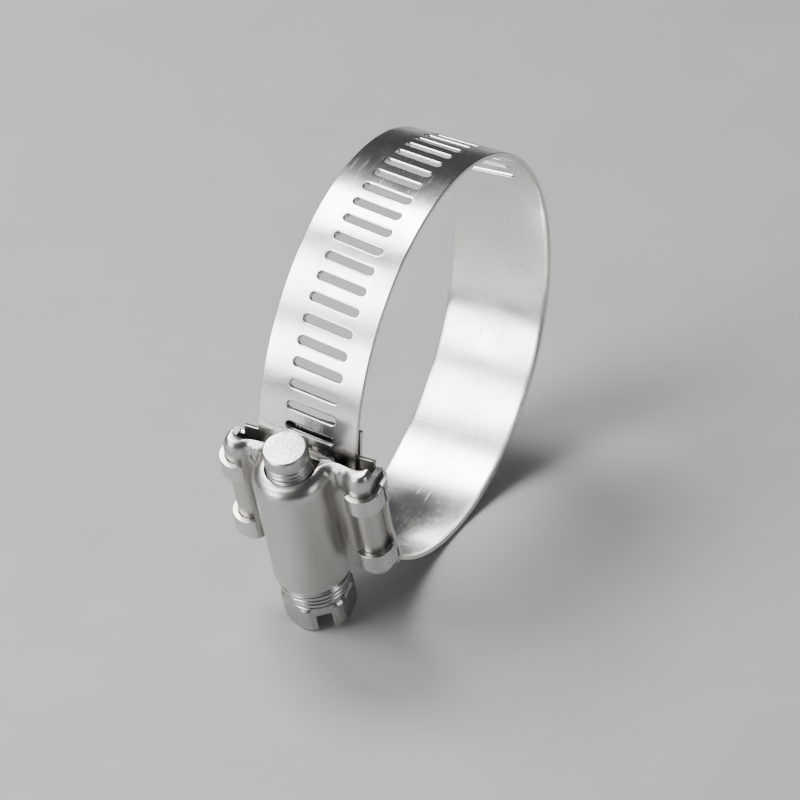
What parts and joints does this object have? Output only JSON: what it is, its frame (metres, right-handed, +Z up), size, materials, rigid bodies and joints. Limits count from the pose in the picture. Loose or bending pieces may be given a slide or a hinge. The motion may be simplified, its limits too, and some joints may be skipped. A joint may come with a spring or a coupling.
{
  "type": "worm drive hose clamp",
  "caption": "Slotted steel band bent into a ring, with a pressed housing on a fingered saddle and a slotted hex-head worm screw that draws the band tight round a hose.",
  "frame": {"origin": "centre of the ring, where the hose axis passes", "axes": "+Y along the hose axis; +Z up, away from the floor it stands on; the housing and screw are on the -X side, with the screw head low and its tip high"},
  "size_m": [0.0593, 0.0208, 0.0501],
  "materials": {
    "band_steel": "brushed",
    "housing_steel": "satin",
    "saddle_steel": "satin",
    "screw_steel": "satin"
  },
  "bodies": {
    "clamp_body": {"band_fixed_end": "band_steel", "saddle": "saddle_steel", "housing": "housing_steel"},
    "screw": {"screw": "screw_steel", "screw_thread": "screw_steel"},
    "band_slotted_end": {"band_slotted_end": "band_steel"},
    "band_link_1": {"band_link_1": "band_steel"},
    "band_link_2": {"band_link_2": "band_steel"},
    "band_link_3": {"band_link_3": "band_steel"},
    "band_link_4": {"band_link_4": "band_steel"},
    "band_link_5": {"band_link_5": "band_steel"},
    "band_link_6": {"band_link_6": "band_steel"},
    "band_link_7": {"band_link_7": "band_steel"},
    "band_link_8": {"band_link_8": "band_steel"}
  },
  "joints": [
    {"name": "screw_turn", "type": "hinge", "parent": "clamp_body", "child": "screw", "pos_m": [-0.02728, 0, -0.00907], "axis": [-0.3156, 0, 0.9489], "range_deg": [0, 1440]},
    {"name": "band_slide", "type": "hinge", "parent": "clamp_body", "child": "band_slotted_end", "pos_m": [-0.00055, 0, -0.00018], "axis": [0, -1, 0], "range_deg": [0, 23.77]},
    {"name": "band_bend_1", "type": "hinge", "parent": "clamp_body", "child": "band_link_1", "pos_m": [-0.00488, 0, -0.02375], "axis": [0, -1, 0], "range_deg": [0, 4.52]},
    {"name": "band_bend_2", "type": "hinge", "parent": "band_link_1", "child": "band_link_2", "pos_m": [0.00765, 0, -0.02301], "axis": [0, -1, 0], "range_deg": [0, 3.48]},
    {"name": "band_bend_3", "type": "hinge", "parent": "band_link_2", "child": "band_link_3", "pos_m": [0.01813, 0, -0.0161], "axis": [0, -1, 0], "range_deg": [0, 2.3]},
    {"name": "band_bend_4", "type": "hinge", "parent": "band_link_3", "child": "band_link_4", "pos_m": [0.02375, 0, -0.00488], "axis": [0, -1, 0], "range_deg": [0, 1.41]},
    {"name": "band_bend_8", "type": "hinge", "parent": "band_slotted_end", "child": "band_link_8", "pos_m": [-0.01821, 0, 0.01727], "axis": [0, 1, 0], "range_deg": [0, 4.43]},
    {"name": "band_bend_7", "type": "hinge", "parent": "band_link_8", "child": "band_link_7", "pos_m": [-0.00726, 0, 0.02372], "axis": [0, 1, 0], "range_deg": [0, 3.38]},
    {"name": "band_bend_6", "type": "hinge", "parent": "band_link_7", "child": "band_link_6", "pos_m": [0.00544, 0, 0.02391], "axis": [0, 1, 0], "range_deg": [0, 2.21]},
    {"name": "band_bend_5", "type": "hinge", "parent": "band_link_6", "child": "band_link_5", "pos_m": [0.01657, 0, 0.0178], "axis": [0, 1, 0], "range_deg": [0, 1.36]}
  ],
  "couplings": [
    {"joint": "band_slide", "follows": "screw_turn", "ratio": 0.01647},
    {"joint": "band_bend_1", "follows": "screw_turn", "ratio": 0.0031013},
    {"joint": "band_bend_2", "follows": "screw_turn", "ratio": 0.0023832},
    {"joint": "band_bend_3", "follows": "screw_turn", "ratio": 0.001563},
    {"joint": "band_bend_4", "follows": "screw_turn", "ratio": 0.00094536},
    {"joint": "band_bend_8", "follows": "screw_turn", "ratio": 0.0030403},
    {"joint": "band_bend_7", "follows": "screw_turn", "ratio": 0.0023156},
    {"joint": "band_bend_6", "follows": "screw_turn", "ratio": 0.0015037},
    {"joint": "band_bend_5", "follows": "screw_turn", "ratio": 0.00091078}
  ]
}
